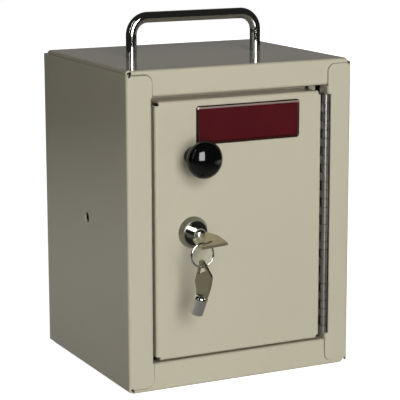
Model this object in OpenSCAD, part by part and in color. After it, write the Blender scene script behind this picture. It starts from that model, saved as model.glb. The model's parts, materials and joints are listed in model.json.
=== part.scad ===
// Small lockable medicine cabinet of bent sheet steel, with a carrying handle on top.
// Millimetres. X runs to the right, Y to the back and Z up.
// The origin is the centre of the bottom face.

/* [Cabinet] */
// Outside width of the cabinet
cabinet_w = 177.8; // [165:0.1:230]
// Outside depth of the cabinet
cabinet_d = 152.4; // [120:0.1:220]
// Outside height of the cabinet
cabinet_h = 228.6; // [215:0.1:300]
// Thickness of the steel sheet
sheet_t = 1.2; // [0.9:0.1:1.5]
// Outer radius of the sheet bends
bend_r = 2.2; // [1.8:0.1:2.6]
// Gap between lapped sheets of the cabinet
lap_gap = 0.05; // [0.03:0.01:0.15]
// Distance from the top and bottom faces to the edges of the sides and the back
wall_inset = 2.4; // [1.8:0.1:4]
// Depth of the flanges of the top and bottom panels
pan_flange = 12; // [8:0.5:20]
// Distance between the ends of a pan's flanges and its corners
pan_relief = 3; // [2.5:0.1:5]
// Depth of the back panel's flanges behind the sides
back_flange = 12; // [8:0.5:20]

/* [Front frame] */
// Width of the left stile
stile_left_w = 19.05; // [16:0.05:24]
// Width of the right stile
stile_right_w = 19.05; // [16:0.05:24]
// Height of the bottom rail
rail_bottom_h = 20.3; // [17:0.1:24]
// Height of the top rail
rail_top_h = 18.8; // [16:0.1:22]
// Depth of the bottom rail's inner return flange
rail_return = 9; // [6:0.5:14]
// Gap between the door's top flange and the stop behind it
stop_gap = 0.6; // [0.4:0.1:1]
// Drop of the door stop behind the door's top flange
stop_drop = 8; // [6:0.5:9]
// Distance from the right edge of the opening to the notch in the door stop
stop_end = 9; // [8:0.5:20]
// Width of the notch in the door stop
stop_notch_w = 3; // [2:0.5:6]
// Depth of the stiles' jamb flanges from the front face
jamb_depth = 12; // [10.5:0.1:12.5]
// Distance from the top and bottom faces to the ends of the stiles
stile_end_inset = 3.6; // [3:0.1:5]
// Radius of the rounded corner at each end of a stile
stile_end_r = 5.5; // [2.5:0.1:6]
// Diameter of the relief hole at each corner of the front bends
relief_d = 2; // [1.5:0.1:2.5]

/* [Side holes] */
// Diameter of the fixing hole in each side
side_hole_d = 7.8; // [5:0.1:10]
// Distance of the side holes behind the middle of the depth
side_hole_y = -3; // [-15:0.5:15]

/* [Door] */
// Width of the gap between the door and the left stile
door_gap_left = 1.95; // [1.2:0.05:3]
// Gap between the door and the bottom rail
door_gap_bottom = 2; // [1.2:0.1:3]
// Gap between the door and the top rail
door_gap_top = 3.5; // [1.2:0.1:4.5]
// Distance that the door stands proud of the stiles
door_proud = 0.4; // [0:0.1:0.5]
// Depth of the door's side and bottom flanges from its face
door_depth = 12; // [10:0.1:12.2]
// Depth of the door's top flange from its face
door_top_depth = 18; // [12:0.1:22]
// Distance from the door's right edge to the notch in its top flange
door_notch_end = 7.8; // [6:0.1:12]
// Width of the notch in the door's top flange
door_notch_w = 3; // [2:0.1:5]

/* [Hinge] */
// Least height of the door left free of the hinge, at both ends together
hinge_ends = 4; // [2:0.5:60]
// Length of one knuckle and its gap
knuckle_pitch = 6.35; // [5:0.05:6.4]
// Gap between two knuckles
knuckle_gap = 0.5; // [0.2:0.05:0.6]
// Outside diameter of the knuckles
knuckle_d = 5; // [4.6:0.1:5.2]
// Diameter of the hinge pin
hinge_pin_d = 2.3; // [2:0.1:2.5]
// Radial clearance of the pin in the knuckles
pin_clearance = 0.05; // [0.03:0.01:0.1]
// Thickness of the hinge leaves
leaf_t = 1; // [0.8:0.05:1.1]
// Distance of the pin behind the stiles' front face
hinge_pin_depth = 0.6; // [0.4:0.1:1]
// Width of the leaves behind the pin
leaf_w = 11; // [8:0.1:11]
// Distance of the hinge pin from the opening's right edge
hinge_pin_inset = 1.8; // [1.7:0.05:1.9]
// Gap between the door's edge and the knuckles
hinge_door_gap = 1.3; // [1.2:0.05:1.4]
// Width of the notch in the stile beside the knuckles
hinge_notch_w = 2.3; // [2:0.1:3]

/* [Handle] */
// Diameter of the handle's bar
handle_bar_d = 7.94; // [6.5:0.02:9]
// Distance between the handle's legs, centre to centre
handle_spacing = 101.6; // [70:0.1:110]
// Height of the handle above the cabinet
handle_rise = 32.4; // [28:0.1:50]
// Radius of the handle's bends, at the bar's centre
handle_bend_r = 12.7; // [9:0.1:15]
// Diameter of the handle's screws
handle_screw_d = 4; // [3:0.1:5]
// Depth of the tapped hole in each leg
handle_tap_depth = 12; // [9:0.5:14]

/* [Knob] */
// Diameter of the knob's crown
knob_d = 26.6; // [20:0.1:30]
// Distance from the door to the front of the knob
knob_projection = 27; // [22:0.5:32]
// Diameter of the knob's foot
knob_foot_d = 13.4; // [11:0.1:16]
// Distance of the knob's middle below the door's top edge
knob_drop = 39.1; // [37:0.1:45]
// Distance of the knob and the lock from the door's left edge
knob_inset = 28.5; // [26:0.1:30]

/* [Nameplate] */
// Width of the bare nameplate
plate_w = 82; // [50:0.5:84]
// Height of the bare nameplate
plate_h = 27.4; // [18:0.1:28]
// Thickness of the nameplate's field
plate_t = 0.8; // [0.5:0.1:1.5]
// Height of the rim above the field
plate_rim_t = 0.8; // [0.4:0.1:1.2]
// Width of the rim
plate_rim_w = 2.4; // [1.5:0.1:4]
// Distance of the plate from the door's right edge
plate_inset = 18.95; // [17:0.05:21]
// Distance of the plate from the door's top edge
plate_drop = 4.6; // [3.6:0.1:8]

/* [Lock] */
// Distance of the lock below the middle of the door's height
lock_drop = 1.5; // [-4:0.1:6]
// Diameter of the lock's threaded barrel
lock_barrel_d = 18.8; // [18:0.1:19.4]
// Diameter of the lock's head
lock_head_d = 17.3; // [16.4:0.1:17.6]
// Distance from the door to the face of the head
lock_head_h = 4.6; // [4.2:0.1:5.4]
// Diameter of the bezel at the door
bezel_d = 22.5; // [22.2:0.1:25]
// Diameter of the bezel at its front
bezel_front_d = 18.8; // [18.4:0.1:20]
// Diameter of the plug
plug_d = 11.88; // [11.7:0.02:11.9]
// Radial clearance of the plug in the lock's body
plug_clearance = 0.06; // [0.04:0.01:0.1]
// Length of the cam from the plug's axis to its tip
cam_reach = 36; // [34:0.5:40]
// Width of the cam
cam_w = 12; // [10:0.5:13]
// Thickness of the cam
cam_t = 2; // [1.5:0.1:2.4]
// Distance from the door's face to the cam
cam_depth = 13.6; // [13.3:0.1:14.5]

/* [Keys] */
// Outside diameter of a key's barrel
key_barrel_d = 9.5; // [9.2:0.1:9.6]
// Inside diameter of a key's barrel
key_bore_d = 7.3; // [7.1:0.1:7.5]
// Length of a key's barrel
key_barrel_l = 14.2; // [13:0.1:18]
// Radius of the rounding at the bow's end of a key's barrel
key_end_r = 3; // [1.5:0.1:3.4]
// Thickness of a key's bow
bow_t = 2; // [1.5:0.1:2.2]
// Width of the land between a bow's hole and its side edge
bow_land = 2.4; // [2:0.1:2.6]
// Tilt of the bow of the key in the lock
bow_tilt = 20; // [15:1:22]
// Inner diameter of the key ring
ring_inner_d = 15; // [14.2:0.1:16]
// Thickness of the key ring's wire
ring_wire_d = 1.6; // [1.2:0.1:1.7]
// Turn of the spare key's bow about the vertical
spare_turn = -65; // [-75:1:-60]

/* [Hidden] */
$fn = 64;

steel_paint = [0.74, 0.71, 0.63];
chrome = [0.75, 0.75, 0.76];
steel = [0.62, 0.62, 0.62];
brass = [0.78, 0.63, 0.32];
black_plastic = [0.04, 0.04, 0.04];
maroon = [0.32, 0.06, 0.1];

// Small amount by which a cut passes a face
cut = 0.5;
// Gap between pieces that are close but free of each other
near = 0.3;
// Radial gap round a fixed shank
fixed_gap = 0.05;

front_y = -cabinet_d / 2;
back_y = cabinet_d / 2;
side_x = cabinet_w / 2;
opening_x0 = -side_x + stile_left_w;
opening_x1 = side_x - stile_right_w;
opening_z0 = rail_bottom_h;
opening_z1 = cabinet_h - rail_top_h;
pan_x = side_x - sheet_t - lap_gap;
pan_y = cabinet_d / 2 - sheet_t - lap_gap;

hinge_pin_x = opening_x1 - hinge_pin_inset;
hinge_pin_y = front_y + hinge_pin_depth;
door_front_y = front_y - door_proud;
door_x0 = opening_x0 + door_gap_left;
door_x1 = hinge_pin_x - knuckle_d / 2 - hinge_door_gap;
door_z0 = opening_z0 + door_gap_bottom;
door_z1 = opening_z1 - door_gap_top;
knuckle_count = 2 * floor((door_z1 - door_z0 - hinge_ends) / (2 * knuckle_pitch));
hinge_l = knuckle_count * knuckle_pitch;
hinge_z0 = (door_z0 + door_z1 - hinge_l) / 2;
stop_y = door_front_y + door_top_depth + stop_gap;
corner_relief = 0.6;
corner_cut = bend_r + corner_relief;

knob_x = door_x0 + knob_inset;
knob_z = door_z1 - knob_drop;
lock_x = knob_x;
lock_z = (door_z0 + door_z1) / 2 - lock_drop;
plate_x = door_x1 - plate_inset - plate_w / 2;
plate_z = door_z1 - plate_drop - plate_h / 2;

crown_r = knob_d / 2;
crown_h = 8.4;
crown_z = knob_projection - crown_h;
knob_side = [[knob_foot_d / 2, 2], [knob_foot_d / 2 - 0.9, 6], [knob_foot_d / 2 - 0.6, 10],
    [0.78 * crown_r, crown_z - 4], [0.95 * crown_r, crown_z - 2.2]];

screw_head_r = 4;
screw_head_t = 2.6;
screw_slot_w = 1;
screw_slot_depth = 1.1;
// Room between the end of a screw and the bottom of its hole
screw_end_gap = 2;
washer_r = 4.8;
washer_t = 1;
small_screw_r = 2;
insert_r = 3.6;
insert_l = 12;

bezel_edge = 0.5;
// Step from the face of the lock's head down to its bezel and to the plug's post
head_step = 0.4;
bezel_h = lock_head_h - head_step;
lock_flange_r = 10.4;
lock_flange_t = 1;
lock_washer_r = 12.6;
lock_washer_t = 1;
lock_nut_flats = 23.8;
lock_nut_t = 5;
lock_front_t = 1.6;
cam_gap = 0.4;
lock_body_depth = cam_depth - cam_gap;
plug_front = 0.2;
plug_post_gap = 0.12;
plug_post_r = key_bore_d / 2 - plug_post_gap;
plug_post_z = lock_head_h - head_step;
plug_bore_r = plug_d / 2 + plug_clearance;
plug_tail_r = 4.4;
plug_tail_flat = 3.4;
tumbler_count = 7;
tumbler_ring_r = 4.2;
tumbler_r = 0.6;
tumbler_hole_r = 0.66;
tumbler_l = 5;
tumbler_hole_depth = 8.2;
spring_t = 0.2;
cam_screw_r = 1.45;
cam_screw_l = 6;
cam_screw_head_r = 3.4;
cam_screw_head_t = 2;
cam_washer_r = 5.4;
cam_hub_d = cam_w + 2;

key_end = plug_front - near;
key_top = key_barrel_l - key_end;
key_nib_w = 1.2;
key_nib_h = 0.9;
key_nib_from = 0.6;
key_nib_to = 2.6;
// Gaps of the key's barrel and nib in the lock's head
key_hole_gap = 0.1;
nib_gap = 0.15;
key_slot_depth = 3;
key_floor_t = 2;
bow_root = key_top - key_slot_depth + fixed_gap;
bow_root_w = 8.8;
bow_hole_w = 6.8;
bow_hole_h = 4;
bow_hole_v = 18.2;
bow_side = 10.6;
bow_hole_u = -bow_side + bow_land + bow_hole_w / 2;
bow_points = [[-bow_root_w / 2, 0], [bow_root_w / 2, 0], [5.2, 6], [5.8, 14], [3.2, 33.4],
    [-8.9, 21.6], [-bow_side, 19.8], [-bow_side, 13], [-7.6, 1]];
spare_bow_points = [[-bow_root_w / 2, 0], [bow_root_w / 2, 0], [4.6, 7], [3.2, 16.4], [-8, 23.6],
    [-9.9, 22.6], [-8.8, 7]];
spare_hole = [[-8.5, 21.3], [-2.6, 18.3], [-7.8, 12.8]];

ring_r = (ring_inner_d + ring_wire_d) / 2;
ring_y = door_front_y - key_top - bow_hole_v;
land_u = -bow_side + bow_land / 2;
land_x = lock_x + land_u * cos(bow_tilt);
land_z = lock_z + land_u * sin(bow_tilt);
land_corner = sqrt(pow(bow_land / 2, 2) + pow(bow_t / 2, 2));
ring_z = land_z - (ring_inner_d / 2 - land_corner - near);
wire_z = ring_z - ring_r;
wire_u = -6.7;
wire_v = 18.7;
key_balance_v = 0.7;
spare_lean = atan(-wire_u / (wire_v - key_balance_v));

// Quarter ring of a sheet bend round the origin, in the quadrant that turn picks
module bend(turn) {
    rotate(90 * turn) intersection() {
        difference() {
            circle(r = bend_r);
            circle(r = bend_r - sheet_t);
        }
        square(bend_r + cut);
    }
}

// Flat stretch of sheet between two corners of a section
module strip(x0, y0, x1, y1) {
    translate([x0, y0]) square([x1 - x0, y1 - y0]);
}

// Rectangle with rounded corners, centred
module rounded_rect(w, h, r) {
    square([w - 2 * r, h], center = true);
    square([w, h - 2 * r], center = true);
    for (x = [-1, 1], y = [-1, 1])
        translate([x * (w / 2 - r), y * (h / 2 - r)]) circle(r = r);
}

// A section drawn in Y and Z, extruded along X from x0 to x1
module along_x(x0, x1) {
    translate([x0, 0, 0]) rotate([90, 0, 90]) linear_extrude(x1 - x0) children();
}

// A section drawn in X and Z, extruded along Y from y0 to y1
module along_y(y0, y1) {
    translate([0, y1, 0]) rotate([90, 0, 0]) linear_extrude(y1 - y0) children();
}

// Pieces that point out of the door, with local Z out of the door and local Y up
module on_door(x, z) {
    translate([x, door_front_y, z]) rotate([90, 0, 0]) children();
}

// Sides, each one sheet with its stile and jamb flange, and the back between them

// Width of the stile at the left for side 0 and at the right for side 1
function stile_w(side) = side == 0 ? stile_left_w : stile_right_w;

// The stiles' sections are drawn for the left stile: X runs from the cabinet's side to the opening
module on_stile(side) {
    mirror([side, 0]) translate([-side_x, front_y]) children();
}

// The stile's face, the bend at the corner and the side
module side_section(w) {
    strip(bend_r, 0, w - bend_r, sheet_t);
    translate([bend_r, bend_r]) bend(2);
    strip(0, bend_r, sheet_t, cabinet_d);
}

// Bend at the opening and the flange behind it
module jamb_section(w) {
    strip(w - sheet_t, bend_r, w, jamb_depth);
    translate([w - bend_r, bend_r]) bend(3);
}

// The plain end of a stile's sheet beyond the opening, from its end at height 0
module stile_end(w, rail_h) {
    translate([w - bend_r - cut, 0, 0]) cube([bend_r + cut, sheet_t, rail_h + near]);
}

// Space round the end of a stile: its end is lower than the side's, and its corner is rounded
module stile_end_cut(w) {
    top = stile_end_inset + stile_end_r;
    translate([0, sheet_t + cut / 2, 0]) rotate([90, 0, 0]) linear_extrude(sheet_t + cut) {
        strip(bend_r, 0, w + cut, stile_end_inset);
        difference() {
            strip(w - stile_end_r, 0, w + cut, top);
            translate([w - stile_end_r, top]) circle(r = stile_end_r);
        }
    }
    translate([bend_r, bend_r, stile_end_inset]) rotate([90, 0, 0])
        cylinder(d = relief_d, h = 3 * bend_r, center = true);
}

// Children at the bottom of the cabinet for end 0, and upside down at its top for end 1
module at_end(end) {
    translate([0, 0, end * cabinet_h]) mirror([0, 0, end]) children();
}

module side_panel(side) {
    w = stile_w(side);
    color(steel_paint) on_stile(side) difference() {
        union() {
            translate([0, 0, wall_inset]) linear_extrude(cabinet_h - 2 * wall_inset) side_section(w);
            translate([0, 0, opening_z0 + near])
                linear_extrude(opening_z1 - opening_z0 - 2 * near) jamb_section(w);
            for (end = [0, 1]) at_end(end) stile_end(w, end == 0 ? rail_bottom_h : rail_top_h);
        }
        for (end = [0, 1]) at_end(end) stile_end_cut(w);
        translate([-cut, cabinet_d / 2 + side_hole_y, cabinet_h / 2]) rotate([0, 90, 0])
            cylinder(d = side_hole_d, h = sheet_t + 2 * cut);
    }
}

module side_panel_left() {
    side_panel(0);
}

// The right side, with a notch in its stile beside the hinge's knuckles
module side_panel_right() {
    difference() {
        side_panel(1);
        translate([opening_x1 - cut, front_y - cut, hinge_z0 - near])
            cube([hinge_notch_w + cut, hinge_pin_depth + knuckle_d / 2 + near + cut, hinge_l + 2 * near]);
    }
}

// The back, flat at its ends and with flanges behind the sides between the pans' flanges
module back_panel() {
    flange_z = pan_flange + near;
    color(steel_paint) {
        translate([-pan_x, back_y - sheet_t, wall_inset]) cube([2 * pan_x, sheet_t, flange_z - wall_inset]);
        at_end(1) translate([-pan_x, back_y - sheet_t, wall_inset])
            cube([2 * pan_x, sheet_t, flange_z - wall_inset]);
        translate([0, 0, flange_z]) linear_extrude(cabinet_h - 2 * flange_z) {
            strip(-pan_x + bend_r, back_y - sheet_t, pan_x - bend_r, back_y);
            for (m = [0, 1]) mirror([m, 0]) {
                translate([pan_x - bend_r, back_y - bend_r]) bend(0);
                strip(pan_x - sheet_t, back_y - back_flange, pan_x, back_y - bend_r);
            }
        }
    }
}

// Top and bottom panels, each a pan with its front flange as a rail

// Section of a pan in Y and Z, with its flat face at height 0 and its flanges up
module pan_front_back_section(rail_h, return_l) {
    strip(-pan_y + bend_r, 0, pan_y - bend_r, sheet_t);
    translate([-pan_y + bend_r, bend_r]) bend(2);
    translate([pan_y - bend_r, bend_r]) bend(3);
    strip(pan_y - sheet_t, bend_r, pan_y, pan_flange);
    strip(-pan_y, bend_r, -pan_y + sheet_t, rail_h - bend_r);
    translate([-pan_y + bend_r, rail_h - bend_r]) bend(1);
    strip(-pan_y + bend_r, rail_h - sheet_t, -pan_y + return_l, rail_h);
}

module pan_side_section() {
    strip(-pan_x + bend_r, 0, pan_x - bend_r, sheet_t);
    for (m = [0, 1]) mirror([m, 0]) {
        translate([pan_x - bend_r, bend_r]) bend(3);
        strip(pan_x - sheet_t, bend_r, pan_x, pan_flange);
    }
}

module pan(rail_h, return_l) {
    along_x(-pan_x + pan_relief, pan_x - pan_relief) pan_front_back_section(rail_h, return_l);
    along_y(-pan_y + pan_relief, pan_y - pan_relief) pan_side_section();
}

// Section of the door stop, bent from the top rail's return flange
module door_stop_section() {
    strip(stop_y - bend_r - cut, rail_top_h - sheet_t, stop_y - bend_r + sheet_t, rail_top_h);
    translate([stop_y - bend_r + sheet_t, rail_top_h - sheet_t + bend_r]) bend(3);
    strip(stop_y, rail_top_h - sheet_t + bend_r, stop_y + sheet_t, rail_top_h + stop_drop);
}

module top_panel() {
    color(steel_paint) difference() {
        translate([0, 0, cabinet_h]) mirror([0, 0, 1]) {
            pan(rail_top_h, stop_y + pan_y - bend_r);
            along_x(opening_x0 + near, opening_x1 - stop_end) door_stop_section();
            along_x(opening_x1 - stop_end + stop_notch_w, opening_x1 - near) door_stop_section();
        }
        for (x = [-1, 1])
            translate([x * handle_spacing / 2, 0, cabinet_h - sheet_t - cut])
                cylinder(d = handle_screw_d + 2 * near, h = sheet_t + 2 * cut);
    }
}

module bottom_panel() {
    color(steel_paint) pan(rail_bottom_h, rail_return);
}

// Handle and its fasteners

module carry_handle() {
    bar_z = handle_rise - handle_bar_d / 2;
    leg_l = bar_z - handle_bend_r;
    color(chrome) translate([0, 0, cabinet_h]) difference() {
        union() {
            for (m = [0, 1]) mirror([m, 0, 0]) {
                translate([handle_spacing / 2, 0, 0]) cylinder(d = handle_bar_d, h = leg_l);
                translate([handle_spacing / 2 - handle_bend_r, 0, leg_l]) rotate([90, 0, 0])
                    rotate_extrude(angle = 90) translate([handle_bend_r, 0]) circle(d = handle_bar_d);
            }
            translate([0, 0, bar_z]) rotate([0, 90, 0])
                cylinder(d = handle_bar_d, h = handle_spacing - 2 * handle_bend_r, center = true);
        }
        for (x = [-1, 1]) translate([x * handle_spacing / 2, 0, -cut])
            cylinder(d = handle_screw_d + 2 * fixed_gap, h = handle_tap_depth + cut);
    }
}

// Pan-head screw along local Z, its head below height 0 and its slot underneath
module pan_screw(shank_r, shank_l, head_r, head_t) {
    difference() {
        union() {
            cylinder(r = shank_r, h = shank_l);
            translate([0, 0, -head_t]) cylinder(r = head_r, h = head_t);
        }
        translate([-head_r - cut, -screw_slot_w / 2, -head_t - cut])
            cube([2 * head_r + 2 * cut, screw_slot_w, screw_slot_depth + cut]);
    }
}

module washer(inner_r, outer_r, t) {
    difference() {
        cylinder(r = outer_r, h = t);
        translate([0, 0, -cut]) cylinder(r = inner_r, h = t + 2 * cut);
    }
}

module handle_screws() {
    color(steel) for (x = [-1, 1])
        translate([x * handle_spacing / 2, 0, cabinet_h - sheet_t - washer_t])
            pan_screw(handle_screw_d / 2, sheet_t + washer_t + handle_tap_depth - screw_end_gap, screw_head_r,
                screw_head_t);
}

module handle_washers() {
    color(steel) for (x = [-1, 1])
        translate([x * handle_spacing / 2, 0, cabinet_h - sheet_t - washer_t])
            washer(handle_screw_d / 2 + near, washer_r, washer_t);
}

// Piano hinge

// Leaf whose outer face is at reach on the plus X side of the pin, with knuckles from first on
module hinge_leaf(first, reach) {
    knuckle_r = knuckle_d / 2;
    behind = knuckle_r + near;
    knuckle_l = knuckle_pitch - knuckle_gap;
    difference() {
        union() {
            translate([reach - leaf_t, behind, hinge_z0]) cube([leaf_t, leaf_w - behind, hinge_l]);
            for (k = [first : 2 : knuckle_count - 1])
                translate([0, 0, hinge_z0 + k * knuckle_pitch + knuckle_gap / 2]) {
                    cylinder(r = knuckle_r, h = knuckle_l);
                    translate([0, knuckle_r - leaf_t, 0]) cube([reach, leaf_t, knuckle_l]);
                    translate([reach - leaf_t, knuckle_r - leaf_t, 0])
                        cube([leaf_t, leaf_t + near + cut, knuckle_l]);
                }
        }
        translate([0, 0, hinge_z0 - cut])
            cylinder(d = hinge_pin_d + 2 * pin_clearance, h = hinge_l + 2 * cut);
    }
}

module hinge_frame_leaf() {
    color(steel) translate([hinge_pin_x, hinge_pin_y, 0]) hinge_leaf(1, opening_x1 - hinge_pin_x - fixed_gap);
}

module hinge_door_leaf() {
    color(steel) translate([hinge_pin_x, hinge_pin_y, 0]) mirror([1, 0, 0])
        hinge_leaf(0, hinge_pin_x - door_x1 - fixed_gap);
}

module hinge_pin() {
    color(chrome) translate([hinge_pin_x, hinge_pin_y, hinge_z0]) cylinder(d = hinge_pin_d, h = hinge_l);
}

// Door: a pan with its flanges to the back

// Section in X and Y of the door's face and its side flanges
module door_side_section() {
    strip(door_x0 + bend_r, door_front_y, door_x1 - bend_r, door_front_y + sheet_t);
    translate([door_x0 + bend_r, door_front_y + bend_r]) bend(2);
    translate([door_x1 - bend_r, door_front_y + bend_r]) bend(3);
    strip(door_x0, door_front_y + bend_r, door_x0 + sheet_t, door_front_y + door_depth);
    strip(door_x1 - sheet_t, door_front_y + bend_r, door_x1, door_front_y + door_depth);
}

// Section in Y and Z of the door's face and its top and bottom flanges
module door_end_section() {
    strip(door_front_y, door_z0 + bend_r, door_front_y + sheet_t, door_z1 - bend_r);
    translate([door_front_y + bend_r, door_z0 + bend_r]) bend(2);
    translate([door_front_y + bend_r, door_z1 - bend_r]) bend(1);
    strip(door_front_y + bend_r, door_z0, door_front_y + door_depth, door_z0 + sheet_t);
    strip(door_front_y + bend_r, door_z1 - sheet_t, door_front_y + door_top_depth, door_z1);
}

module door_panel() {
    color(steel_paint) difference() {
        union() {
            translate([0, 0, door_z0 + corner_cut]) linear_extrude(door_z1 - door_z0 - 2 * corner_cut)
                door_side_section();
            along_x(door_x0 + corner_cut, door_x1 - corner_cut) door_end_section();
        }
        translate([door_x1 - door_notch_end, door_front_y + bend_r, door_z1 - sheet_t - cut])
            cube([door_notch_w, door_top_depth, sheet_t + 2 * cut]);
        on_door(knob_x, knob_z) cylinder(r = small_screw_r + near, h = 4 * sheet_t, center = true);
        on_door(lock_x, lock_z) cylinder(d = lock_barrel_d + near, h = 4 * sheet_t, center = true);
    }
}

// Knob and its fasteners

// Half section of the knob: foot, neck and oblate crown, with the insert's bore
module knob_profile() {
    difference() {
        union() {
            polygon(concat([[0, 0], [knob_foot_d / 2, 0]], knob_side, [[crown_r, crown_z], [0, crown_z]]));
            intersection() {
                translate([0, crown_z]) scale([1, crown_h / crown_r]) circle(r = crown_r);
                translate([0, crown_z - cut]) square([crown_r, crown_h + 2 * cut]);
            }
        }
        square([insert_r + fixed_gap, insert_l + fixed_gap]);
    }
}

module door_knob() {
    color(black_plastic) on_door(knob_x, knob_z) rotate_extrude() knob_profile();
}

module knob_insert() {
    color(brass) on_door(knob_x, knob_z) washer(small_screw_r + fixed_gap, insert_r, insert_l);
}

module knob_screw() {
    color(steel) on_door(knob_x, knob_z) translate([0, 0, -sheet_t - washer_t])
        pan_screw(small_screw_r, sheet_t + washer_t + insert_l - screw_end_gap, screw_head_r, screw_head_t);
}

module knob_washer() {
    color(steel) on_door(knob_x, knob_z) translate([0, 0, -sheet_t - washer_t])
        washer(small_screw_r + near, washer_r, washer_t);
}

// Bare nameplate with a raised rim

// Section of the rim from its outer edge inward
module plate_rim_section() {
    rim_z = plate_t + plate_rim_t - plate_rim_w / 2;
    square([plate_rim_w, rim_z]);
    translate([plate_rim_w / 2, rim_z]) intersection() {
        circle(d = plate_rim_w);
        translate([-plate_rim_w, 0]) square(2 * plate_rim_w);
    }
}

module nameplate() {
    inner_x = plate_w / 2 - plate_rim_w;
    inner_y = plate_h / 2 - plate_rim_w;
    color(maroon) on_door(plate_x, plate_z) {
        linear_extrude(plate_t) rounded_rect(plate_w, plate_h, plate_rim_w);
        for (m = [0, 1]) mirror([m, 0, 0]) translate([inner_x, 0, 0]) rotate([90, 0, 0])
            linear_extrude(2 * inner_y, center = true) plate_rim_section();
        for (m = [0, 1]) mirror([0, m, 0]) translate([0, inner_y, 0]) rotate([90, 0, 90])
            linear_extrude(2 * inner_x, center = true) plate_rim_section();
        for (mx = [0, 1], my = [0, 1]) mirror([mx, 0, 0]) mirror([0, my, 0])
            translate([inner_x, inner_y, 0]) rotate_extrude(angle = 90) plate_rim_section();
    }
}

// Tubular cam lock. Local Z points out of the door and the door's face is at 0.

module lock_bezel() {
    recess_r = lock_flange_r + fixed_gap;
    inner_r = lock_head_d / 2 + fixed_gap;
    color(steel) on_door(lock_x, lock_z) rotate_extrude() polygon([[recess_r, 0], [bezel_d / 2, 0],
        [bezel_d / 2, bezel_edge], [bezel_front_d / 2, bezel_h], [inner_r, bezel_h],
        [inner_r, lock_flange_t + fixed_gap], [recess_r, lock_flange_t + fixed_gap]]);
}

module lock_body() {
    key_hole_r = key_barrel_d / 2 + key_hole_gap;
    color(chrome) on_door(lock_x, lock_z) difference() {
        union() {
            cylinder(d = lock_head_d, h = lock_head_h);
            cylinder(r = lock_flange_r, h = lock_flange_t);
            translate([0, 0, -lock_body_depth]) cylinder(d = lock_barrel_d, h = lock_body_depth + cut);
        }
        translate([0, 0, -lock_body_depth - cut])
            cylinder(r = plug_bore_r, h = lock_body_depth + cut + lock_head_h - lock_front_t);
        cylinder(r = key_hole_r, h = lock_head_h + cut);
        for (turn = [0, -90]) rotate([0, 0, turn])
            translate([-key_nib_w / 2 - nib_gap, 0, 0])
                cube([key_nib_w + 2 * nib_gap, key_barrel_d / 2 + key_nib_h + nib_gap, lock_head_h + cut]);
    }
}

module lock_washer() {
    color(steel) on_door(lock_x, lock_z) translate([0, 0, -sheet_t - lock_washer_t])
        washer(lock_barrel_d / 2 + near / 2, lock_washer_r, lock_washer_t);
}

module lock_nut() {
    color(steel) on_door(lock_x, lock_z) translate([0, 0, -sheet_t - lock_washer_t - lock_nut_t])
        difference() {
            cylinder(r = lock_nut_flats / sqrt(3), h = lock_nut_t, $fn = 6);
            translate([0, 0, -cut]) cylinder(d = lock_barrel_d + 2 * fixed_gap, h = lock_nut_t + 2 * cut);
        }
}

module tail_section(gap) {
    intersection() {
        circle(r = plug_tail_r + gap);
        square([4 * plug_tail_r, 2 * (plug_tail_flat + gap)], center = true);
    }
}

module lock_plug() {
    color(brass) on_door(lock_x, lock_z) difference() {
        union() {
            translate([0, 0, -cam_depth]) cylinder(d = plug_d, h = cam_depth - plug_front);
            translate([0, 0, -plug_front - cut])
                cylinder(r = plug_post_r, h = plug_post_z + plug_front + cut);
            translate([0, 0, -cam_depth - cam_t]) linear_extrude(cam_t + cut) tail_section(0);
        }
        at_tumblers() translate([0, 0, -tumbler_hole_depth])
            cylinder(r = tumbler_hole_r, h = tumbler_hole_depth + cut);
        translate([0, 0, -cam_depth - cam_t - cut])
            cylinder(r = cam_screw_r + fixed_gap, h = cam_screw_l + cut);
    }
}

module at_tumblers() {
    for (k = [0 : tumbler_count - 1]) rotate([0, 0, 360 * k / tumbler_count])
        translate([tumbler_ring_r, 0, -plug_front]) children();
}

module tumbler_pins() {
    color(brass) on_door(lock_x, lock_z) at_tumblers() translate([0, 0, -tumbler_l])
        cylinder(r = tumbler_r, h = tumbler_l, $fn = 32);
}

module tumbler_springs() {
    color(steel) on_door(lock_x, lock_z) at_tumblers() translate([0, 0, -tumbler_hole_depth])
        difference() {
            cylinder(r = tumbler_r, h = tumbler_hole_depth - tumbler_l, $fn = 32);
            translate([0, 0, -cut]) cylinder(r = tumbler_r - spring_t, h = tumbler_hole_depth, $fn = 32);
        }
}

module lock_cam() {
    color(steel) on_door(lock_x, lock_z) translate([0, 0, -cam_depth - cam_t]) linear_extrude(cam_t)
        difference() {
            union() {
                circle(d = cam_hub_d);
                strip(-cam_w / 2, -cam_reach + cam_w / 2, cam_w / 2, 0);
                translate([0, -cam_reach + cam_w / 2]) circle(d = cam_w);
            }
            tail_section(fixed_gap);
        }
}

module cam_washer() {
    color(steel) on_door(lock_x, lock_z) translate([0, 0, -cam_depth - cam_t - washer_t])
        washer(cam_screw_r + near, cam_washer_r, washer_t);
}

module cam_screw() {
    color(steel) on_door(lock_x, lock_z) translate([0, 0, -cam_depth - cam_t - washer_t])
        pan_screw(cam_screw_r, washer_t + cam_screw_l - near, cam_screw_head_r, cam_screw_head_t);
}

// Keys, each along local Z with its open end at -key_end and its bow outwards

// Half section of a key's barrel without its bore, from its open end at height 0
module key_tube_profile() {
    square([key_barrel_d / 2, key_barrel_l - key_end_r]);
    square([key_barrel_d / 2 - key_end_r, key_barrel_l]);
    translate([key_barrel_d / 2 - key_end_r, key_barrel_l - key_end_r]) intersection() {
        circle(r = key_end_r);
        square(key_end_r + cut);
    }
}

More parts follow.
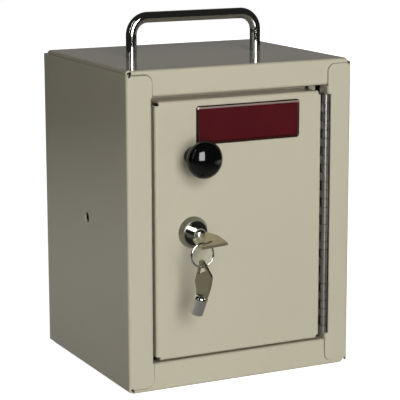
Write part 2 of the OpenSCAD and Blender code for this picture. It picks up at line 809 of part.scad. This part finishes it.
// Barrel of a key, its nib turned from the normal of the bow
module key_tube(nib_turn) {
    difference() {
        union() {
            translate([0, 0, -key_end]) rotate_extrude() key_tube_profile();
            rotate([0, 0, nib_turn]) translate([-key_nib_w / 2, 0, key_nib_from])
                cube([key_nib_w, key_barrel_d / 2 + key_nib_h, key_nib_to - key_nib_from]);
        }
        translate([0, 0, -key_end - cut])
            cylinder(d = key_bore_d, h = key_barrel_l - key_slot_depth - key_floor_t + cut);
        translate([-key_barrel_d, -bow_t / 2 - fixed_gap, key_top - key_slot_depth])
            cube([2 * key_barrel_d, bow_t + 2 * fixed_gap, key_slot_depth + cut]);
    }
}

// Flat bow in the slot of its barrel, less the hole that is given as the child
module bow_plate(outline) {
    translate([0, bow_t / 2, key_top]) rotate([90, 0, 0]) linear_extrude(bow_t) difference() {
        union() {
            polygon(outline);
            strip(-bow_root_w / 2, bow_root - key_top, bow_root_w / 2, cut);
        }
        children();
    }
}

module key_barrel() {
    color(steel) on_door(lock_x, lock_z) rotate([0, 0, bow_tilt]) key_tube(-bow_tilt);
}

module key_bow() {
    color(steel) on_door(lock_x, lock_z) rotate([0, 0, bow_tilt]) bow_plate(bow_points)
        translate([bow_hole_u, bow_hole_v]) square([bow_hole_w, bow_hole_h], center = true);
}

module key_ring() {
    color(chrome) translate([land_x, ring_y, ring_z]) rotate([90, 0, 0])
        rotate_extrude() translate([ring_r, 0]) circle(d = ring_wire_d);
}

// Spare key, hanging by its hole from the lowest point of the ring
module hanging() {
    translate([land_x, ring_y, wire_z]) rotate([0, 0, spare_turn]) rotate([0, spare_lean, 0])
        translate([-wire_u, 0, -wire_v - key_top]) children();
}

module spare_key_barrel() {
    color(steel) hanging() key_tube(-bow_tilt);
}

module spare_key_bow() {
    color(steel) hanging() bow_plate(spare_bow_points) polygon(spare_hole);
}

side_panel_left();
side_panel_right();
back_panel();
top_panel();
bottom_panel();
carry_handle();
handle_screws();
handle_washers();
hinge_frame_leaf();
hinge_pin();
hinge_door_leaf();
door_panel();
door_knob();
knob_insert();
knob_screw();
knob_washer();
nameplate();
lock_bezel();
lock_body();
lock_washer();
lock_nut();
lock_plug();
tumbler_pins();
tumbler_springs();
lock_cam();
cam_screw();
cam_washer();
key_barrel();
key_bow();
key_ring();
spare_key_barrel();
spare_key_bow();
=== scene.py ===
"""Looks of the lockable medicine cabinet: materials, painted shade along the seams, floor, light and
camera.
"""

import json
import math

import bmesh
import bpy
from mathutils import Matrix, Vector


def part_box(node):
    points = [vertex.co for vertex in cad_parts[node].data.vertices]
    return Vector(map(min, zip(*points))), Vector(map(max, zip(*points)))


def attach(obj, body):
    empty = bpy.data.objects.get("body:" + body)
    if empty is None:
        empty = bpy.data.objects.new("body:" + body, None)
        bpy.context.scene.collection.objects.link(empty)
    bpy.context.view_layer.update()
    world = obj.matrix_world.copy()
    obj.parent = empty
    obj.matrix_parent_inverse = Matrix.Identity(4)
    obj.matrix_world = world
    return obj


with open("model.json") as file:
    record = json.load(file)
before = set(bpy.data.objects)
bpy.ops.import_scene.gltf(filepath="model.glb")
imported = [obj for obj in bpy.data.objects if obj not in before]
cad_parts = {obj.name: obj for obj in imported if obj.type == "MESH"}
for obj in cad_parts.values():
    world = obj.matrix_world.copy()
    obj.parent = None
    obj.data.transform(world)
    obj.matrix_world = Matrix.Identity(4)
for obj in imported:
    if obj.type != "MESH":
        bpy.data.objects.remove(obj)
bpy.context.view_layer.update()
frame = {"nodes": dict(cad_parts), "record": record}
NODES = frame["nodes"]
MM = 0.001
WHITE = (1, 1, 1, 1)


def srgb(r, g, b):
    """Linear colour with alpha from 8-bit sRGB."""
    def linear(v):
        v /= 255.0
        return v / 12.92 if v <= 0.04045 else ((v + 0.055) / 1.055) ** 2.4
    return (linear(r), linear(g), linear(b), 1.0)


def direction(azimuth, elevation):
    """Unit vector at an azimuth to the right of the cabinet's front and an elevation, in radians."""
    flat = math.cos(elevation)
    return Vector((math.sin(azimuth) * flat, -math.cos(azimuth) * flat, math.sin(elevation)))


# Camera

# Place, direction, roll and focal length that fit the photograph, whose frame is PICTURE_PIXELS wide
CAMERA_AT = Vector((-0.54334, -1.09796, 0.36640))
CAMERA_AZIMUTH = math.radians(-26.516)
CAMERA_ELEVATION = math.radians(11.447)
CAMERA_ROLL = math.radians(-0.142)
SENSOR_MM = 36.0
FOCAL_PIXELS = 1663.8
PICTURE_PIXELS = 400
CAMERA_REACH = 50


def make_camera():
    back = direction(CAMERA_AZIMUTH, CAMERA_ELEVATION)
    right = (-back).cross(Vector((0, 0, 1))).normalized()
    up = right.cross(-back)
    cosine, sine = math.cos(CAMERA_ROLL), math.sin(CAMERA_ROLL)
    right, up = right * cosine + up * sine, up * cosine - right * sine
    data = bpy.data.cameras.new("camera")
    data.sensor_width = SENSOR_MM
    data.lens = SENSOR_MM * FOCAL_PIXELS / PICTURE_PIXELS
    data.clip_end = CAMERA_REACH
    camera = bpy.data.objects.new("camera", data)
    basis = Matrix((right, up, back)).transposed().to_4x4()
    camera.matrix_world = Matrix.Translation(CAMERA_AT) @ basis
    bpy.context.scene.collection.objects.link(camera)
    bpy.context.scene.camera = camera


# Shader nodes


def link_or_set(tree, value, socket):
    """Give a socket its value, which is another socket or a number."""
    if isinstance(value, bpy.types.NodeSocket):
        tree.links.new(value, socket)
    else:
        socket.default_value = value


def span(tree, value, low, high, start=0, end=1):
    """value from start to end becomes low to high."""
    node = tree.nodes.new("ShaderNodeMapRange")
    node.inputs["From Min"].default_value = start
    node.inputs["From Max"].default_value = end
    node.inputs["To Min"].default_value = low
    node.inputs["To Max"].default_value = high
    tree.links.new(value, node.inputs["Value"])
    return node.outputs["Result"]


def calculate(tree, operation, *values):
    """Value of a math node whose inputs are sockets or numbers."""
    node = tree.nodes.new("ShaderNodeMath")
    node.operation = operation
    for value, socket in zip(values, node.inputs):
        link_or_set(tree, value, socket)
    return node.outputs["Value"]


def measure(tree, operation, vector, fixed):
    """Distance or dot product of a vector socket and a fixed vector."""
    node = tree.nodes.new("ShaderNodeVectorMath")
    node.operation = operation
    node.inputs[1].default_value = fixed
    tree.links.new(vector, node.inputs[0])
    return node.outputs["Value"]


def coordinates(tree, vector):
    """The three coordinates of a vector socket."""
    node = tree.nodes.new("ShaderNodeSeparateXYZ")
    tree.links.new(vector, node.inputs[0])
    return node.outputs


def mix_shaders(tree, factor, first, second):
    node = tree.nodes.new("ShaderNodeMixShader")
    for source, socket in zip((factor, first, second), node.inputs):
        tree.links.new(source, socket)
    return node.outputs[0]


def glow(tree, kind, colour, strength):
    """Emission or background of a colour, whose strength is a socket or a number."""
    node = tree.nodes.new(kind)
    node.inputs["Color"].default_value = colour
    link_or_set(tree, strength, node.inputs["Strength"])
    return node.outputs[0]


# Materials

# Sockets of a colour mix node
COLOUR_A = 6
COLOUR_B = 7
COLOUR_RESULT = 2
# Darkest share of their own colour in the haze of polished metal and in the grain of brushed metal
HAZE = 0.96
GRAIN = 0.9
# Nameplate: width of its black outer line and of its rim, their soft edge, and the finish of rim and field
PLATE_OUTLINE = 0.75 * MM
PLATE_RIM = 2.3 * MM
PLATE_BLEND = 0.15 * MM
PLATE_RIM_METAL = 0.6
PLATE_RIM_ROUGH = 0.3
PLATE_FIELD_ROUGH = 0.2


def shade(colour, share):
    """The colour at a share of its brightness."""
    return [share * channel for channel in colour[:3]] + [1]


class Shader:
    """A material under construction, with short calls for the nodes it needs."""

    def __init__(self, name):
        self.material = bpy.data.materials.new(name)
        self.material.use_nodes = True
        self.tree = self.material.node_tree
        self.bsdf = self.tree.nodes["Principled BSDF"]
        self.place = self.tree.nodes.new("ShaderNodeTexCoord").outputs["Object"]

    def set(self, **values):
        for name, value in values.items():
            self.bsdf.inputs[name.replace("_", " ")].default_value = value

    def into(self, name, value):
        self.tree.links.new(value, self.bsdf.inputs[name])

    def noise(self, scale, detail=1, stretch=(1, 1, 1)):
        mapping = self.tree.nodes.new("ShaderNodeMapping")
        mapping.inputs["Scale"].default_value = stretch
        self.tree.links.new(self.place, mapping.inputs["Vector"])
        noise = self.tree.nodes.new("ShaderNodeTexNoise")
        noise.inputs["Scale"].default_value = scale
        noise.inputs["Detail"].default_value = detail
        self.tree.links.new(mapping.outputs["Vector"], noise.inputs["Vector"])
        return noise.outputs["Fac"]

    def span(self, *values):
        return span(self.tree, *values)

    def blend(self, value, first, second):
        """Colour that turns from first to second, each a colour or a socket, as value goes from 0 to 1."""
        node = self.tree.nodes.new("ShaderNodeMix")
        node.data_type = "RGBA"
        self.tree.links.new(value, node.inputs["Factor"])
        link_or_set(self.tree, first, node.inputs[COLOUR_A])
        link_or_set(self.tree, second, node.inputs[COLOUR_B])
        return node.outputs[COLOUR_RESULT]

    def bump(self, height, distance, strength):
        node = self.tree.nodes.new("ShaderNodeBump")
        node.inputs["Distance"].default_value = distance
        node.inputs["Strength"].default_value = strength
        self.tree.links.new(height, node.inputs["Height"])
        self.into("Normal", node.outputs["Normal"])


def paint(name):
    """Beige semi-gloss powder coat with a fine orange peel."""
    s = Shader(name)
    s.into("Base Color", s.blend(s.noise(9), srgb(192, 186, 165), srgb(188, 182, 160)))
    s.into("Roughness", s.span(s.noise(40), 0.42, 0.48))
    s.set(Coat_Weight=1.0, Coat_Roughness=0.03, Coat_IOR=1.5, Specular_IOR_Level=0.3)
    s.bump(s.noise(900), distance=0.01 * MM, strength=0.15)
    return s.material


def painted_seam_shade():
    """Painted shade in the crevice of a lapped sheet: paint darker than on the flat, standing in for the
    shadow of the step.
    """
    s = Shader("painted_seam_shade")
    # Painted shade: two darker beiges for the shadow in the crevice
    s.into("Base Color", s.blend(s.noise(300), srgb(128, 122, 101), srgb(106, 100, 80)))
    s.set(Roughness=0.5)
    return s.material


def polished(name, colour, low, high):
    """Plated and polished metal with faint hazy patches, and a roughness from low to high."""
    s = Shader(name)
    s.set(Metallic=1.0)
    s.into("Base Color", s.blend(s.noise(90), colour, shade(colour, HAZE)))
    s.into("Roughness", s.span(s.noise(120), low, high))
    return s.material


def brushed(name, colour, low, high, scale, stretch=(1, 1, 1)):
    """Metal with a fine grain, drawn out along an axis that stretch makes small."""
    s = Shader(name)
    s.set(Metallic=1.0)
    grain = s.noise(scale, 2, stretch)
    s.into("Base Color", s.blend(grain, colour, shade(colour, GRAIN)))
    s.into("Roughness", s.span(grain, low, high))
    s.bump(grain, distance=0.01 * MM, strength=0.3)
    return s.material


def black_gloss(name):
    """Glossy black moulded plastic."""
    s = Shader(name)
    s.into("Base Color", s.blend(s.noise(80), srgb(5, 6, 7), srgb(9, 9, 10)))
    s.into("Roughness", s.span(s.noise(220), 0.06, 0.1))
    s.bump(s.noise(500), distance=0.01 * MM, strength=0.1)
    return s.material


def edge_distance(tree, place, low, high):
    """Distance inward from the nearest edge of a box that faces the front."""
    nearest = []
    for axis in (0, 2):
        off = calculate(tree, "SUBTRACT", coordinates(tree, place)[axis], (low[axis] + high[axis]) / 2)
        half = (high[axis] - low[axis]) / 2
        nearest.append(calculate(tree, "SUBTRACT", half, calculate(tree, "ABSOLUTE", off)))
    return calculate(tree, "MINIMUM", *nearest)


def enamel(name):
    """Maroon gloss enamel of the bare nameplate with a black outer line; a painted highlight makes the
    upper edge of the rim pale.
    """
    low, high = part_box("nameplate")
    s = Shader(name)
    inward = edge_distance(s.tree, s.place, low, high)
    field = s.span(inward, 0, 1, PLATE_RIM - PLATE_BLEND, PLATE_RIM)
    outline = s.span(inward, 1, 0, PLATE_OUTLINE, PLATE_OUTLINE + PLATE_BLEND)
    # Painted highlight: the rim turns pale along its upper edge, as if it caught light from above
    top_rim_z = high.z - PLATE_RIM
    painted_highlight_mask = s.span(coordinates(s.tree, s.place)["Z"], 0, 1, top_rim_z, top_rim_z + PLATE_BLEND)
    red = s.blend(s.noise(45), srgb(82, 19, 25), srgb(71, 16, 22))
    rim = s.blend(painted_highlight_mask, srgb(74, 28, 26), srgb(200, 175, 168))
    s.into("Base Color", s.blend(outline, s.blend(field, rim, red), srgb(14, 9, 9)))
    s.into("Metallic", s.span(field, PLATE_RIM_METAL, 0))
    s.into("Roughness", s.span(field, PLATE_RIM_ROUGH, PLATE_FIELD_ROUGH))
    s.set(Coat_Weight=0.5, Coat_Roughness=0.08)
    s.bump(s.noise(420), distance=0.02 * MM, strength=0.2)
    return s.material


# Each slot's recipe with its colour, lowest and highest roughness, and the scale and stretch of its grain
RECIPES = {
    "beige_paint": (paint,),
    "chrome": (polished, srgb(214, 215, 212), 0.03, 0.06),
    "zinc_steel": (brushed, srgb(176, 178, 174), 0.28, 0.42, 220),
    "hinge_steel": (brushed, srgb(166, 162, 160), 0.3, 0.36, 500, (1, 1, 0.1)),
    "satin_steel": (brushed, srgb(172, 172, 160), 0.3, 0.42, 350),
    "key_nickel": (brushed, srgb(190, 182, 155), 0.3, 0.38, 900),
    "brass": (brushed, srgb(190, 156, 86), 0.22, 0.34, 260),
    "black_plastic": (black_gloss,),
    "maroon_plate": (enamel,),
}


def dress_nodes():
    materials = {slot: make(slot, *values) for slot, (make, *values) in RECIPES.items()}
    for part in frame["record"]["subparts"]:
        slots = NODES[part["node"]].data.materials
        slots.clear()
        slots.append(materials[part["material_slot"]])


# Painted shade: dark strips on the rails where the rounded ends of the stiles lap over them

STILE_W = 19.05 * MM
STILE_END_INSET = 3.6 * MM
STILE_END_R = 5.5 * MM
RAIL_BOTTOM_H = 20.3 * MM
RAIL_TOP_H = 18.8 * MM
# Distance from the cabinet's side to the outer end of a seam
SEAM_END = 3.4 * MM
# Widths of the seams at the left and the right stile: the left stile hides a part of its seams
SEAM_WIDTHS = (0.9 * MM, 0.35 * MM)
SEAM_T = 0.06 * MM
SEAM_ARC_STEPS = 10


def seam_line(side_x, rail_h, offset):
    """Points (x, z) beside a stile's end, offset outward: x from the middle, z from the cabinet's end."""
    inner_x = side_x - STILE_W
    middle = (inner_x + STILE_END_R, STILE_END_INSET + STILE_END_R)
    radius = STILE_END_R + offset
    points = [(inner_x - offset, rail_h)]
    for step in range(SEAM_ARC_STEPS + 1):
        turn = math.pi / 2 * step / SEAM_ARC_STEPS
        points.append((middle[0] - radius * math.cos(turn), middle[1] - radius * math.sin(turn)))
    points.append((side_x - SEAM_END, STILE_END_INSET - offset))
    return points


def make_seams():
    """One mesh with a thin dark strip of painted shade on the rails along each of the four stile ends."""
    side_x = -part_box("side_panel_left")[0].x
    rail_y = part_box("bottom_panel")[0].y
    top_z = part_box("top_panel")[1].z
    bm = bmesh.new()
    for sign, width in zip((-1, 1), SEAM_WIDTHS):
        for at_top, rail_h in ((False, RAIL_BOTTOM_H), (True, RAIL_TOP_H)):
            rows = []
            for offset, y in ((0, -SEAM_T), (width, -SEAM_T), (width, SEAM_T), (0, SEAM_T)):
                rows.append([
                    bm.verts.new((sign * x, rail_y + y, top_z - z if at_top else z))
                    for x, z in seam_line(side_x, rail_h, offset)
                ])
            for one, two in zip(rows, rows[1:] + rows[:1]):
                for k in range(len(one) - 1):
                    bm.faces.new((one[k], one[k + 1], two[k + 1], two[k]))
            bm.faces.new([row[0] for row in rows])
            bm.faces.new([row[-1] for row in rows])
    bmesh.ops.recalc_face_normals(bm, faces=bm.faces)
    mesh = bpy.data.meshes.new("stile_seam_shadows")
    bm.to_mesh(mesh)
    bm.free()
    seams = bpy.data.objects.new("stile_seam_shadows", mesh)
    bpy.context.scene.collection.objects.link(seams)
    # The strips carry painted shade along the laps
    mesh.materials.append(painted_seam_shade())
    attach(seams, "cabinet")


# Floor, light and background

FLOOR_SIZE = 12.0
FLOOR_COLOUR = (0.8, 0.8, 0.8, 1)
FLOOR_ROUGH = 0.9
# Light that the floor adds for the camera, so that it comes out white away from the shadow
FLOOR_GLOW = 0.95
# Pools of light that gloss and metal mirror on the floor: middle, inner and outer radius, and strength
POOLS = (
    ((-0.35, 0.25, 0), 0.15, 0.9, 0.42),
    ((0.72, -0.28, 0), 0.2, 0.42, 0.8),
)
# Strength of the dark room that they mirror, and the tint of what they mirror
ROOM_MIRRORED = 0.02
ROOM_TINT = (1.0, 0.97, 0.9, 1)
# Backdrop that they mirror behind the cabinet: azimuth, elevation, strength, and its middle and edge angles
BACKDROP_AZIMUTH = math.radians(154)
BACKDROP_ELEVATION = math.radians(7)
BACKDROP_STRENGTH = 0.2
BACKDROP_MIDDLE = math.radians(12)
BACKDROP_EDGE = math.radians(40)
# Strength of the room's light from straight below and from straight above
ROOM_LOW = 0.0
ROOM_HIGH = 0.04
# Point that the lights face
AIM = Vector((0, -0.05, 0.14))


def by_ray(tree, lit, mirrored, shown):
    """lit for plain light, mirrored in gloss, and shown to the camera and through glass."""
    ray = tree.nodes.new("ShaderNodeLightPath").outputs
    to_light = mix_shaders(tree, ray["Is Glossy Ray"], lit, mirrored)
    sees_background = calculate(tree, "MAXIMUM", ray["Is Camera Ray"], ray["Is Transmission Ray"])
    return mix_shaders(tree, sees_background, to_light, shown)


def pool_level(tree, place, middle, inner, outer, strength):
    """Mirrored brightness around one pool of light on the floor."""
    return span(tree, measure(tree, "DISTANCE", place, middle), strength, ROOM_MIRRORED, inner, outer)


def floor_material():
    """Pale floor that keeps the shadow: white to the camera, dim in reflections."""
    material = bpy.data.materials.new("floor")
    material.use_nodes = True
    tree = material.node_tree
    pale = tree.nodes["Principled BSDF"]
    pale.inputs["Base Color"].default_value = FLOOR_COLOUR
    pale.inputs["Roughness"].default_value = FLOOR_ROUGH
    pale.inputs["Specular IOR Level"].default_value = 0.0
    shown = tree.nodes.new("ShaderNodeAddShader")
    tree.links.new(pale.outputs[0], shown.inputs[0])
    tree.links.new(glow(tree, "ShaderNodeEmission", WHITE, FLOOR_GLOW), shown.inputs[1])
    place = tree.nodes.new("ShaderNodeTexCoord").outputs["Object"]
    brightest = calculate(tree, "MAXIMUM", *[pool_level(tree, place, *pool) for pool in POOLS])
    mirrored = glow(tree, "ShaderNodeEmission", ROOM_TINT, brightest)
    surface = by_ray(tree, pale.outputs[0], mirrored, shown.outputs[0])
    tree.links.new(surface, tree.nodes["Material Output"].inputs["Surface"])
    return material


def make_floor():
    half = FLOOR_SIZE / 2
    mesh = bpy.data.meshes.new("floor")
    corners = [(-half, -half, 0), (half, -half, 0), (half, half, 0), (-half, half, 0)]
    mesh.from_pydata(corners, [], [(0, 1, 2, 3)])
    mesh.materials.append(floor_material())
    floor = bpy.data.objects.new("floor", mesh)
    bpy.context.scene.collection.objects.link(floor)


def make_world():
    """White to the camera, a dim room with a pale backdrop to everything else."""
    world = bpy.data.worlds.new("studio")
    bpy.context.scene.world = world
    world.use_nodes = True
    tree = world.node_tree
    toward = tree.nodes.new("ShaderNodeTexCoord").outputs["Generated"]
    level = span(tree, coordinates(tree, toward)["Z"], ROOM_LOW, ROOM_HIGH, start=-1)
    room = glow(tree, "ShaderNodeBackground", WHITE, level)
    near_axis = measure(tree, "DOT_PRODUCT", toward, direction(BACKDROP_AZIMUTH, BACKDROP_ELEVATION))
    edge, middle = math.cos(BACKDROP_EDGE), math.cos(BACKDROP_MIDDLE)
    backdrop = span(tree, near_axis, ROOM_MIRRORED, BACKDROP_STRENGTH, edge, middle)
    mirrored = glow(tree, "ShaderNodeBackground", ROOM_TINT, backdrop)
    white = tree.nodes["Background"]
    white.inputs["Color"].default_value = WHITE
    surface = by_ray(tree, room, mirrored, white.outputs[0])
    tree.links.new(surface, tree.nodes["World Output"].inputs["Surface"])


def area_light(name, azimuth, elevation, distance, size, watts, in_gloss=True):
    """Soft box that faces the cabinet from an azimuth and an elevation in degrees."""
    away = direction(math.radians(azimuth), math.radians(elevation))
    data = bpy.data.lights.new(name, "AREA")
    data.shape = "RECTANGLE"
    data.size, data.size_y = size
    data.energy = watts
    light = bpy.data.objects.new(name, data)
    light.visible_glossy = in_gloss
    turn = away.to_track_quat("Z", "Y").to_matrix().to_4x4()
    light.matrix_world = Matrix.Translation(AIM + away * distance) @ turn
    bpy.context.scene.collection.objects.link(light)


bpy.context.scene.view_settings.view_transform = "Standard"
dress_nodes()
make_seams()
make_camera()
make_floor()
make_world()
area_light("front_box", azimuth=-9, elevation=14, distance=2.5, size=(1.1, 1.7), watts=59)
area_light("left_strip", azimuth=-66, elevation=30, distance=2.2, size=(0.05, 2.0), watts=2.5)
area_light("back_fill", azimuth=128, elevation=3, distance=2.5, size=(1.5, 1.0), watts=25, in_gloss=False)
